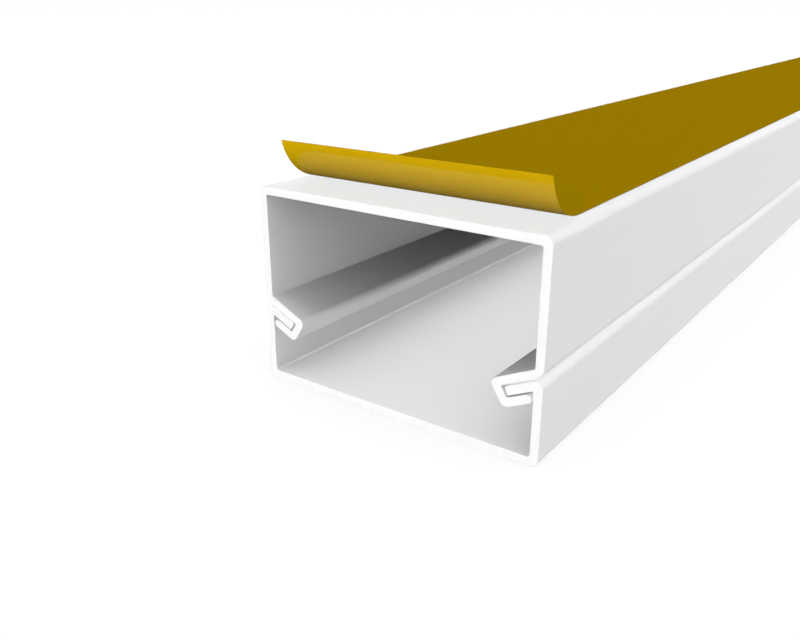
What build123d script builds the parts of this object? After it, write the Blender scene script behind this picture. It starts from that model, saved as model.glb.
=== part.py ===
from build123d import *
import os
from math import cos, radians, sin, tan

# Cord cover raceway: a hooked base channel and a clip-in cover, both extruded in rigid PVC,
# with a strip of adhesive tape on the base's back and a release liner that is peeled up at one end.
# It lies on the cover's face with the adhesive back up. +Y runs along the length, +Z is up,
# and the origin is under the middle of the cover. The peeled end is at -Y. Sizes are in millimetres.

# Overall section and the length of one piece as sold
LENGTH = 400.0
WIDTH = 40.0
HEIGHT = 26.0
WALL = 1.05

# The clip: the cover's two lips slope down into the raceway and lie in the base's two hooks
SHOULDER_HEIGHT = 10.7
CLIP_SLOPE = 25.0
LIP_LENGTH = 5.0
CLIP_CLEARANCE = 0.2
HOOK_LEAN = 8.0

# Rounding of the walls, from the die
CORNER_RADIUS = 1.0
BEND_RADIUS = 1.5
SHOULDER_RADIUS = 0.9
HOOK_RADIUS = 0.8
INNER_RADIUS = 0.3
EDGE_RADIUS = 0.15
TIP_ROUNDING = 0.48  # share of the wall

# Adhesive tape and its release liner
TAPE_WIDTH = 36.6
TAPE_THICKNESS = 0.06
LINER_THICKNESS = 0.08
CURL_RADIUS = 7.0
CURL_ANGLE = 76.0

# Directions on the clip at +X: inwards down the slope, and square to it, away from the base's back
SLOPE = radians(CLIP_SLOPE)
INWARDS = Vector(-cos(SLOPE), -sin(SLOPE))
ACROSS = Vector(sin(SLOPE), -cos(SLOPE))

# A hook's free edge is rounded almost to a half circle
TIP_RADIUS = WALL * TIP_ROUNDING

# The liner's freed end is as long as the stretch of base that it uncovers
PEEL_LENGTH = CURL_RADIUS * radians(CURL_ANGLE)
PEEL_LINE = PEEL_LENGTH - LENGTH / 2


def both_sides(half):
    """A list of points at +X, from the middle outwards, continued to -X through the middle."""
    return [Vector(-point.X, point.Y) for point in reversed(half)] + half


def inner_skin(outer_skin):
    """The face one wall to the right of a path of straight runs, with mitred corners."""
    runs = [(end - start).normalized() for start, end in zip(outer_skin, outer_skin[1:])]
    normals = [Vector(run.Y, -run.X) for run in runs]
    before = [normals[0]] + normals
    after = normals + [normals[-1]]
    return [
        corner + (first + second) * (WALL / (1 + first.dot(second)))
        for corner, first, second in zip(outer_skin, before, after)
    ]


def thin_wall(outer_skin, outer_radii, inner_radii):
    """A wall of one thickness, extruded over the whole length from the path of its outer skin."""
    outline = outer_skin + inner_skin(outer_skin)[::-1]
    with BuildPart() as wall:
        with BuildSketch(Plane.XZ):
            with BuildLine():
                FilletPolyline(*outline, radius=outer_radii + inner_radii[::-1], close=True)
            make_face()
        extrude(amount=LENGTH / 2, both=True)
    return wall.part


def cover_half():
    """The cover's outer skin at +X: floor corner, shoulder and the free end of the lip."""
    floor_corner = Vector(WIDTH / 2, 0)
    shoulder = Vector(WIDTH / 2, SHOULDER_HEIGHT)
    lip_end = shoulder + INWARDS * LIP_LENGTH
    return [floor_corner, shoulder, lip_end]


def hook_half():
    """The base's outer skin at +X: back corner, bend, the slot's closed end and the hook's free edge."""
    lip_end = cover_half()[-1]
    slot = WALL + 2 * CLIP_CLEARANCE
    lean = slot * tan(radians(HOOK_LEAN))
    back_corner = Vector(WIDTH / 2, HEIGHT)
    bend = Vector(WIDTH / 2, SHOULDER_HEIGHT + CLIP_CLEARANCE / cos(SLOPE))
    slot_roof = lip_end - ACROSS * CLIP_CLEARANCE + INWARDS * (CLIP_CLEARANCE + lean)
    slot_floor = slot_roof + ACROSS * slot - INWARDS * lean
    cover_wall_x = WIDTH / 2 - WALL
    tip_overhang = sin(SLOPE) * (WALL - TIP_RADIUS) + (1 - cos(SLOPE)) * TIP_RADIUS
    leg_reach = cover_wall_x - CLIP_CLEARANCE - tip_overhang - slot_floor.X
    leg_length = leg_reach / cos(SLOPE)
    free_edge = slot_floor - INWARDS * leg_length
    return [back_corner, bend, slot_roof, slot_floor, free_edge]


def mirrored(radii):
    """Radii at +X, from the middle outwards, repeated for -X."""
    return radii[::-1] + radii


def snap_cover():
    outer = mirrored([CORNER_RADIUS, SHOULDER_RADIUS, EDGE_RADIUS])
    inner = mirrored([INNER_RADIUS, EDGE_RADIUS, EDGE_RADIUS])
    return thin_wall(both_sides(cover_half())[::-1], outer, inner)


def base_channel():
    outer = mirrored([CORNER_RADIUS, BEND_RADIUS, EDGE_RADIUS, EDGE_RADIUS, TIP_RADIUS])
    inner = mirrored([INNER_RADIUS, EDGE_RADIUS, HOOK_RADIUS, HOOK_RADIUS, TIP_RADIUS])
    return thin_wall(both_sides(hook_half()), outer, inner)


def adhesive_tape():
    """The bonded strip, from the peel line to the far end, on the base's back."""
    bonded = LENGTH - PEEL_LENGTH
    strip = Box(TAPE_WIDTH, bonded, TAPE_THICKNESS, align=(Align.CENTER, Align.MAX, Align.MIN))
    return Pos(0, LENGTH / 2, HEIGHT) * strip


def release_liner():
    """The liner lies on the tape and curls up from the peel line to its free edge."""
    underside = HEIGHT + TAPE_THICKNESS
    topside = underside + LINER_THICKNESS
    with BuildPart() as liner:
        with BuildSketch(Plane.YZ):
            with BuildLine():
                lower = Line((LENGTH / 2, underside), (PEEL_LINE, underside))
                lower_curl = JernArc(lower @ 1, (-1, 0), CURL_RADIUS, -CURL_ANGLE)
                upper = Line((LENGTH / 2, topside), (PEEL_LINE, topside))
                upper_curl = JernArc(upper @ 1, (-1, 0), CURL_RADIUS - LINER_THICKNESS, -CURL_ANGLE)
                Line(lower_curl @ 1, upper_curl @ 1)
                Line(lower @ 0, upper @ 0)
            make_face()
        extrude(amount=TAPE_WIDTH / 2, both=True)
    return liner.part


PIECES = {
    "base_channel": base_channel,
    "snap_cover": snap_cover,
    "adhesive_tape": adhesive_tape,
    "release_liner": release_liner,
}

os.makedirs("parts", exist_ok=True)
for name, make in PIECES.items():
    export_step(make(), f"parts/{name}.step")
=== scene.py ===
from math import cos, pi, radians, sin, tan

import bpy
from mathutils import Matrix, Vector


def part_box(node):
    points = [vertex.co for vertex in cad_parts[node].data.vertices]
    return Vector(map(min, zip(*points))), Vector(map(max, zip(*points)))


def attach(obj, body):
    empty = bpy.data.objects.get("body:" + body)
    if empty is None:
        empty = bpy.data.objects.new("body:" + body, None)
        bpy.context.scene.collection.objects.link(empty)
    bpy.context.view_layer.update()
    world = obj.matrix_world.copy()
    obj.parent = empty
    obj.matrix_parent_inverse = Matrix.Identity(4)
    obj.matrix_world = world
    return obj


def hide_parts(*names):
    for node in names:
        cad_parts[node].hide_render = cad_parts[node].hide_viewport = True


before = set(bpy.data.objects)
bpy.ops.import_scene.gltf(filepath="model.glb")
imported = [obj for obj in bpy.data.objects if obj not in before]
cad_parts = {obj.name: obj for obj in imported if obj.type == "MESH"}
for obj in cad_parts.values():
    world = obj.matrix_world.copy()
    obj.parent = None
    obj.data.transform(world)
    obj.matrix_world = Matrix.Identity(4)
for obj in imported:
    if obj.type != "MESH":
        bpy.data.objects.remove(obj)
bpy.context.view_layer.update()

# Base channel
# The raceway's back: one length of white rigid PVC, pressed through a die as a flat web with two side
# walls, each ending in a folded hook for the cover, and sawn square at both ends.
base_low, base_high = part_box("base_channel")
length = base_high.y - base_low.y
half_width = base_high.x
back_height = base_high.z
wall = 0.00105
shoulder_height = 0.0107
clip_slope = radians(25)
lip_length = 0.005
clip_clearance = 0.0002
hook_lean = radians(8)
corner_radius = 0.001
bend_radius = 0.0015
hook_radius = 0.0008
tip_rounding = 0.48
tip_radius = tip_rounding * wall
inner_radius = 0.0003
edge_radius = 0.00015
corner_segments = 14
saw_edge = 0.00005
saw_edge_segments = 2
saw_edge_angle = radians(60)

inwards = Vector((-cos(clip_slope), 0, -sin(clip_slope)))
across = Vector((sin(clip_slope), 0, -cos(clip_slope)))
shoulder = Vector((half_width, 0, shoulder_height))
lip_end = shoulder + inwards * lip_length
slot_width = wall + 2 * clip_clearance
slot_lean = slot_width * tan(hook_lean)
slot_roof = lip_end - across * clip_clearance + inwards * (clip_clearance + slot_lean)
slot_floor = slot_roof + across * slot_width - inwards * slot_lean
tip_overhang = sin(clip_slope) * (wall - tip_radius) + (1 - cos(clip_slope)) * tip_radius
leg_reach = half_width - wall - clip_clearance - tip_overhang - slot_floor.x
hook_edge = slot_floor - inwards * leg_reach / cos(clip_slope)
bend = Vector((half_width, 0, shoulder_height + clip_clearance / cos(clip_slope)))
back_corner = Vector((half_width, 0, back_height))

# Each corner at +X, from the middle outwards: its place on the outer skin, and both skins' radii
base_corners = [
    (back_corner, corner_radius, inner_radius),
    (bend, bend_radius, edge_radius),
    (slot_roof, edge_radius, hook_radius),
    (slot_floor, edge_radius, hook_radius),
    (hook_edge, tip_radius, tip_radius),
]


def new_piece(name, points, edges=(), faces=()):
    """An object at the origin, of points and the edges or faces between them."""
    mesh = bpy.data.meshes.new(name)
    mesh.from_pydata(points, edges, faces)
    piece = bpy.data.objects.new(name, mesh)
    bpy.context.scene.collection.objects.link(piece)
    return piece


def wall_loop(name, corners, heading):
    """A closed loop of edges along a thin wall's outer skin and back along its inner one.

    The outer skin is followed towards +X where heading is 1, and towards -X where it is -1, so that the
    inner skin lies on its right, seen from -Y. Each point keeps the radius that its corner is rounded to.
    """
    first_half = [(Vector((-heading * point.x, 0, point.z)), *radii) for point, *radii in reversed(corners)]
    second_half = [(Vector((heading * point.x, 0, point.z)), *radii) for point, *radii in corners]
    points, outer_radii, inner_radii = zip(*first_half, *second_half)
    runs = [(end - start).normalized() for start, end in zip(points, points[1:])]
    normals = [Vector((run.z, 0, -run.x)) for run in runs]
    before = [normals[0], *normals]
    after = [*normals, normals[-1]]
    inner = [
        point + (first + second) * wall / (1 + first.dot(second))
        for point, first, second in zip(points, before, after)
    ]
    loop = [*points, *reversed(inner)]
    radii = [*outer_radii, *reversed(inner_radii)]
    piece = new_piece(name, loop, [(i, (i + 1) % len(loop)) for i in range(len(loop))])
    kept_radii = piece.data.attributes.new("corner_radius", "FLOAT", "POINT")
    kept_radii.data.foreach_set("value", radii)
    return piece


def node_adder(tree):
    """A function that adds a node to this tree, with its settings and with values or links for sockets."""
    def add(kind, settings=None, **values):
        node = tree.nodes.new(kind)
        for key, value in (settings or {}).items():
            setattr(node, key, value)
        for name, value in values.items():
            socket = node.inputs[name.replace("_", " ")]
            if isinstance(value, bpy.types.NodeSocket):
                tree.links.new(value, socket)
            else:
                socket.default_value = value
        return node
    return add


def node_tree(name, inputs):
    """An empty Geometry Nodes tree with named inputs, its node adder and its input sockets."""
    tree = bpy.data.node_groups.new(name, "GeometryNodeTree")
    for label, kind in inputs.items():
        tree.interface.new_socket(label, in_out="INPUT", socket_type=f"NodeSocket{kind}")
    tree.interface.new_socket("Piece", in_out="OUTPUT", socket_type="NodeSocketGeometry")
    add = node_adder(tree)
    return tree, add, add("NodeGroupInput").outputs


def facing(add, direction):
    """How squarely each face looks in a direction, from -1 to 1."""
    normal = add("GeometryNodeInputNormal")
    parts = add("ShaderNodeSeparateXYZ", Vector=normal.outputs[0])
    return parts.outputs[direction]


def two_finishes(add, swept, first, second, second_on):
    """Ends a tree: realizes the swept shape and gives its chosen faces the second material."""
    solid = add("GeometryNodeRealizeInstances", Geometry=swept)
    plain = add("GeometryNodeSetMaterial", Geometry=solid.outputs[0], Material=first)
    both = add("GeometryNodeSetMaterial", Geometry=plain.outputs[0], Selection=second_on, Material=second)
    add("NodeGroupOutput", Piece=both.outputs[0])


def sawn_extrusion_tree():
    """Rounds a section's corners, sweeps it along the length and closes the sawn ends."""
    inputs = {
        "Section": "Geometry",
        "Length": "Float",
        "Corner Segments": "Int",
        "Skin": "Material",
        "Sawn End": "Material",
    }
    tree, add, given = node_tree("sawn_extrusion", inputs)
    along = add("ShaderNodeCombineXYZ", Y=given["Length"])
    start = add("ShaderNodeVectorMath", {"operation": "SCALE"}, Vector=along.outputs[0], Scale=-0.5)
    end = add("ShaderNodeVectorMath", {"operation": "SCALE"}, Vector=along.outputs[0], Scale=0.5)
    path = add("GeometryNodeCurvePrimitiveLine", Start=start.outputs[0], End=end.outputs[0])
    loop = add("GeometryNodeMeshToCurve", Mesh=given["Section"])
    radius = add("GeometryNodeInputNamedAttribute", {"data_type": "FLOAT"}, Name="corner_radius")
    rounded = add("GeometryNodeFilletCurve", {"mode": "POLY"}, Curve=loop.outputs[0],
                  Radius=radius.outputs[0], Count=given["Corner Segments"])
    # The sweep takes its profile lying flat, with the section's height along -Y
    flat = add("GeometryNodeTransform", Geometry=rounded.outputs[0], Rotation=(pi / 2, 0, 0))
    swept = add("GeometryNodeCurveToMesh", Curve=path.outputs[0], Profile_Curve=flat.outputs[0],
                Fill_Caps=True)
    # The faces that look along the length are the saw cuts
    least_squareness = 0.9
    squareness = add("ShaderNodeMath", {"operation": "ABSOLUTE"}, Value=facing(add, "Y"))
    sawn = add("FunctionNodeCompare", {"operation": "GREATER_THAN"}, A=squareness.outputs[0],
               B=least_squareness)
    two_finishes(add, swept.outputs[0], given["Skin"], given["Sawn End"], sawn.outputs[0])
    return tree


def sweep(piece, tree, values):
    """Gives a piece its Geometry Nodes sweep, with each input set by its socket's identifier."""
    modifier = piece.modifiers.new(tree.name, "NODES")
    modifier.node_group = tree
    for socket in tree.interface.items_tree:
        if socket.name in values:
            modifier[socket.identifier] = values[socket.name]


def finish_mesh(piece):
    """Turns a piece and its modifiers into a plain smooth mesh."""
    evaluated = piece.evaluated_get(bpy.context.evaluated_depsgraph_get())
    mesh = bpy.data.meshes.new_from_object(evaluated)
    mesh.name = piece.name
    piece.modifiers.clear()
    piece.data = mesh


def sawn_length(piece, skin, sawn):
    """Sweeps a section over the whole length, breaks its sawn edges and evens out its normals."""
    values = {"Length": length, "Corner Segments": corner_segments, "Skin": skin, "Sawn End": sawn}
    sweep(piece, sawn_extrusion, values)
    broken = piece.modifiers.new("saw_edges", "BEVEL")
    broken.width = saw_edge
    broken.segments = saw_edge_segments
    broken.limit_method = "ANGLE"
    broken.angle_limit = saw_edge_angle
    even = piece.modifiers.new("even_normals", "WEIGHTED_NORMAL")
    even.keep_sharp = True
    finish_mesh(piece)


def new_material(name):
    """An empty node material and its node adder."""
    material = bpy.data.materials.new(name)
    material.use_nodes = True
    material.node_tree.nodes.clear()
    return material, node_adder(material.node_tree)


def stretched_noise(add, scale, stretch, detail):
    """Noise in waves per metre, with its waves drawn out along the axes that have a small stretch."""
    place = add("ShaderNodeTexCoord")
    drawn = add("ShaderNodeMapping", Vector=place.outputs["Object"], Scale=stretch)
    return add("ShaderNodeTexNoise", Vector=drawn.outputs[0], Scale=scale, Detail=detail).outputs["Fac"]


def between(add, factor, first, second):
    """A colour or a number that follows a noise from the first value to the second."""
    if isinstance(first, tuple):
        mix = add("ShaderNodeMix", {"data_type": "RGBA"}, Factor=factor, A=(*first, 1), B=(*second, 1))
    else:
        mix = add("ShaderNodeMix", {"data_type": "FLOAT"}, Factor=factor, A=first, B=second)
    return mix.outputs["Result"]


def surface_with(add, **values):
    """Ends a material in one surface shader with these values."""
    surface = add("ShaderNodeBsdfPrincipled", **values)
    add("ShaderNodeOutputMaterial", Surface=surface.outputs[0])


def extruded_pvc():
    """Satin white PVC, with faint die lines along the length and a slight cloudiness in its white."""
    material, add = new_material("extruded_pvc")
    clouds = stretched_noise(add, scale=60, stretch=(1, 0.3, 1), detail=3)
    die_lines = stretched_noise(add, scale=2500, stretch=(1, 0.004, 1), detail=2)
    relief = add("ShaderNodeBump", Height=die_lines, Strength=0.06, Distance=0.00001)
    surface_with(
        add,
        Base_Color=between(add, clouds, (0.78, 0.78, 0.78), (0.80, 0.80, 0.80)),
        Roughness=between(add, die_lines, 0.40, 0.52),
        Specular_IOR_Level=0.08,
        Normal=relief.outputs[0],
    )
    return material


def sawn_pvc():
    """The chalky white of a saw cut, with the blade's fine marks across it."""
    material, add = new_material("sawn_pvc")
    marks = stretched_noise(add, scale=3000, stretch=(0.05, 1, 1), detail=2)
    relief = add("ShaderNodeBump", Height=marks, Strength=0.1, Distance=0.00001)
    surface_with(
        add,
        Base_Color=between(add, marks, (0.81, 0.81, 0.81), (0.83, 0.83, 0.83)),
        Roughness=0.7,
        Specular_IOR_Level=0.2,
        Normal=relief.outputs[0],
    )
    return material


sawn_extrusion = sawn_extrusion_tree()
pvc_skin = extruded_pvc()
pvc_sawn = sawn_pvc()
base = wall_loop("base_channel_extrusion", base_corners, 1)
sawn_length(base, pvc_skin, pvc_sawn)
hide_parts("base_channel")
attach(base, "base")

# Snap cover
# The raceway's face: a second length of the same PVC, with two short walls whose lips slope in and down,
# so that they slide or snap into the base's hooks.
cover_low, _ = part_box("snap_cover")
shoulder_radius = 0.0009
floor_corner = Vector((half_width, 0, cover_low.z))
cover_corners = [
    (floor_corner, corner_radius, inner_radius),
    (shoulder, shoulder_radius, edge_radius),
    (lip_end, edge_radius, edge_radius),
]
cover = wall_loop("snap_cover_extrusion", cover_corners, -1)
sawn_length(cover, pvc_skin, pvc_sawn)
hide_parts("snap_cover")
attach(cover, "cover")

# Adhesive tape
# A thin strip of pale acrylic adhesive, rolled onto the base's back and bonded there up to the peel line.
tape_low, tape_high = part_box("adhesive_tape")


def acrylic_adhesive():
    """Cream adhesive film with the fine pebbling of a rolled coating."""
    material, add = new_material("acrylic_adhesive")
    pebbles = stretched_noise(add, scale=900, stretch=(1, 1, 1), detail=4)
    relief = add("ShaderNodeBump", Height=pebbles, Strength=0.2, Distance=0.00003)
    surface_with(
        add,
        Base_Color=between(add, pebbles, (0.74, 0.71, 0.62), (0.80, 0.78, 0.70)),
        Roughness=0.35,
        Specular_IOR_Level=0.4,
        Normal=relief.outputs[0],
    )
    return material


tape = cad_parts["adhesive_tape"]
tape.data.materials.clear()
tape.data.materials.append(acrylic_adhesive())

# Release liner
# A strip of gold-yellow coated paper that keeps the adhesive clean. Its end was lifted off and curls up by
# itself. The back is matt paper, and the side towards the adhesive is glossy with release coating.
liner_low, liner_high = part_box("release_liner")
liner_width = liner_high.x - liner_low.x
liner_thickness = 0.00008
curl_radius = 0.007
curl_angle = radians(76)
curl_segments = 48
sharp_angle = radians(40)

middle_radius = curl_radius - liner_thickness / 2
middle_height = tape_high.z + liner_thickness / 2
curl_turns = [curl_angle * step / curl_segments for step in range(curl_segments + 1)]
route = [Vector((0, liner_high.y, middle_height))]
for turn in curl_turns:
    back = tape_low.y - middle_radius * sin(turn)
    lift = middle_radius * (1 - cos(turn))
    route.append(Vector((0, back, middle_height + lift)))


def curled_strip_tree():
    """Sweeps a flat strip along a route and gives its underside a finish of its own."""
    inputs = {
        "Route": "Geometry",
        "Width": "Float",
        "Thickness": "Float",
        "Back": "Material",
        "Release Side": "Material",
    }
    tree, add, given = node_tree("curled_strip", inputs)
    path = add("GeometryNodeMeshToCurve", Mesh=given["Route"])
    strip = add("GeometryNodeCurvePrimitiveQuadrilateral", Width=given["Width"], Height=given["Thickness"])
    swept = add("GeometryNodeCurveToMesh", Curve=path.outputs[0], Profile_Curve=strip.outputs[0],
                Fill_Caps=True)
    # The faces that look even a little downwards are the release side
    least_downwards = -0.1
    underneath = add("FunctionNodeCompare", {"operation": "LESS_THAN"}, A=facing(add, "Z"), B=least_downwards)
    two_finishes(add, swept.outputs[0], given["Back"], given["Release Side"], underneath.outputs[0])
    return tree


def paper_fibres(add):
    """Fine fibres, drawn out along the strip."""
    return stretched_noise(add, scale=700, stretch=(1, 0.35, 1), detail=5)


def liner_back():
    """Gold-yellow paper with a faint fibre in it and a dull calendered face."""
    material, add = new_material("liner_back")
    fibres = paper_fibres(add)
    relief = add("ShaderNodeBump", Height=fibres, Strength=0.05, Distance=0.00002)
    surface_with(
        add,
        Base_Color=between(add, fibres, (0.291, 0.177, 0.0006), (0.310, 0.187, 0.0008)),
        Roughness=between(add, fibres, 0.50, 0.60),
        Specular_IOR_Level=0,
        Normal=relief.outputs[0],
    )
    return material


def liner_release_side():
    """The same paper, in a yellow about twice as light as the back's, under a clear glossy coat of silicone.
    """
    material, add = new_material("liner_release_side")
    fibres = paper_fibres(add)
    paper = add(
        "ShaderNodeBsdfPrincipled",
        Base_Color=between(add, fibres, (0.60, 0.370, 0.0015), (0.62, 0.382, 0.0020)),
        Roughness=0.5,
        Specular_IOR_Level=0,
    )
    coat = add("ShaderNodeBsdfAnisotropic", Roughness=between(add, fibres, 0.06, 0.10))
    coat_share = 0.03
    coated = add("ShaderNodeMixShader", Fac=coat_share)
    material.node_tree.links.new(paper.outputs[0], coated.inputs[1])
    material.node_tree.links.new(coat.outputs[0], coated.inputs[2])
    add("ShaderNodeOutputMaterial", Surface=coated.outputs[0])
    return material


liner = new_piece("release_liner_strip", route, [(i, i + 1) for i in range(len(route) - 1)])
liner_values = {
    "Width": liner_width,
    "Thickness": liner_thickness,
    "Back": liner_back(),
    "Release Side": liner_release_side(),
}
sweep(liner, curled_strip_tree(), liner_values)
finish_mesh(liner)
liner.data.set_sharp_from_angle(angle=sharp_angle)
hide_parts("release_liner")
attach(liner, "base")

# Floor
# A plain white table that the raceway lies on. It stays white to the eye and keeps a soft shadow.
floor_size = 8
floor_gap = 0.00002
floor_reach = Vector((floor_size / 2, floor_size / 2))


def level_sheet(name, low, high, height):
    """A level rectangle between two corners."""
    corners = [(low.x, low.y), (high.x, low.y), (high.x, high.y), (low.x, high.y)]
    return new_piece(name, [(x, y, height) for x, y in corners], faces=[(0, 1, 2, 3)])


def seen_directly(add):
    """1 for a look at the surroundings, straight, reflected or through glass, and 0 for light from them."""
    path = add("ShaderNodeLightPath")
    seen = path.outputs["Is Camera Ray"]
    for ray in ("Is Glossy Ray", "Is Transmission Ray"):
        either = add("ShaderNodeMath", {"operation": "MAXIMUM"}, Value=seen)
        either.id_data.links.new(path.outputs[ray], either.inputs[1])
        seen = either.outputs[0]
    return seen


def white_table():
    """White that glows to the eye alone, and a little light from the lamps, which the raceway shades."""
    material, add = new_material("white_table")
    lit = add("ShaderNodeBsdfDiffuse", Color=(0.2, 0.2, 0.2, 1))
    glow = add("ShaderNodeEmission", Color=(0.85, 0.85, 0.85, 1), Strength=seen_directly(add))
    white = add("ShaderNodeAddShader")
    material.node_tree.links.new(lit.outputs[0], white.inputs[0])
    material.node_tree.links.new(glow.outputs[0], white.inputs[1])
    add("ShaderNodeOutputMaterial", Surface=white.outputs[0])
    return material


floor = level_sheet("floor", -floor_reach, floor_reach, -floor_gap)
floor.data.materials.append(white_table())

# Reflection card
# A dark card on the table before the open end. Only reflections show it, and it keeps them from washing out
# the liner's gold.
card_low = Vector((-0.12, base_low.y - 0.15))
card_high = Vector((0.02, base_low.y + 0.06))
card_lift = 0.00005


def black_card():
    """Matt black card."""
    material, add = new_material("black_card")
    black = add("ShaderNodeBsdfDiffuse", Color=(0.005, 0.005, 0.005, 1))
    add("ShaderNodeOutputMaterial", Surface=black.outputs[0])
    return material


card = level_sheet("reflection_card", card_low, card_high, card_lift)
card.data.materials.append(black_card())
card.visible_camera = False
card.visible_shadow = False

# Light
# A white room: even light from above and below, with three soft lamps in front, at the right and on top.
# The cover, the base and the strip on its back each have a set of these to themselves. Neither extrusion
# shades the other, so that light fills the channel, and no light is bounced.

# Each lamp's vector points to it and is as long as the lamp is strong, and its angle is how soft it is
lamps = {
    "dome": (Vector((0, 0, 0.71)), radians(180)),
    "under_dome": (Vector((0, 0, -0.41)), radians(180)),
    "front_lamp": (Vector((0, -0.47, 0)), radians(30)),
    "right_lamp": (Vector((0.22, -0.13, 0.03)), radians(70)),
    "top_lamp": (Vector((0.06, -0.01, 0.23)), radians(30)),
}

world = bpy.data.worlds.new("white_room")
world.use_nodes = True
world.node_tree.nodes.clear()
add_world = node_adder(world.node_tree)
room = add_world("ShaderNodeBackground", Color=(1, 1, 1, 1), Strength=seen_directly(add_world))
add_world("ShaderNodeOutputWorld", Surface=room.outputs[0])
bpy.context.scene.world = world
bpy.context.scene.cycles.diffuse_bounces = 0


def lit_group(name, pieces):
    """A collection of pieces that lamps shine on or are shaded by."""
    group = bpy.data.collections.new(name)
    for piece in pieces:
        group.objects.link(piece)
    return group


def hang_lamps(group, blockers, shadowless=()):
    """Hangs a set of the lamps for one group, shaded by the blockers, or by every piece if there are none."""
    for name, (towards, softness) in lamps.items():
        lamp = bpy.data.lights.new(f"{name}_{group.name}", "SUN")
        # A sun of strength pi shows a white surface that faces it as full white
        lamp.energy = pi * towards.length
        lamp.angle = softness
        lamp.use_shadow = name not in shadowless
        lamp.cycles.use_multiple_importance_sampling = False
        stand = bpy.data.objects.new(lamp.name, lamp)
        stand.rotation_euler = towards.to_track_quat("Z", "Y").to_euler()
        bpy.context.scene.collection.objects.link(stand)
        stand.light_linking.receiver_collection = group
        stand.light_linking.blocker_collection = blockers


# The top lamp casts no shadow on the cover, whose floor stays light into its corners
hang_lamps(lit_group("cover", [cover]), lit_group("cover_blockers", [cover]), ["top_lamp"])
hang_lamps(lit_group("base", [base]), lit_group("base_blockers", [base]))
hang_lamps(lit_group("strip", [tape, liner]), lit_group("strip_blockers", [tape, liner, base]))
hang_lamps(lit_group("table", [floor]), None)

# Camera
# It stands close to the near end, a little above it and to its right, as the photographer did.
camera = bpy.data.cameras.new("camera")
camera.sensor_width = 36
camera.lens = 36.11
camera.clip_start = 0.001
camera_stand = bpy.data.objects.new("camera", camera)
camera_stand.location = (0.05226, -0.26929, 0.04718)
camera_pitch = radians(21.67)
camera_yaw = radians(36.19)
camera_stand.rotation_euler = (pi / 2 - camera_pitch, 0, camera_yaw)
bpy.context.scene.collection.objects.link(camera_stand)
bpy.context.scene.camera = camera_stand
bpy.context.scene.view_settings.view_transform = "Standard"
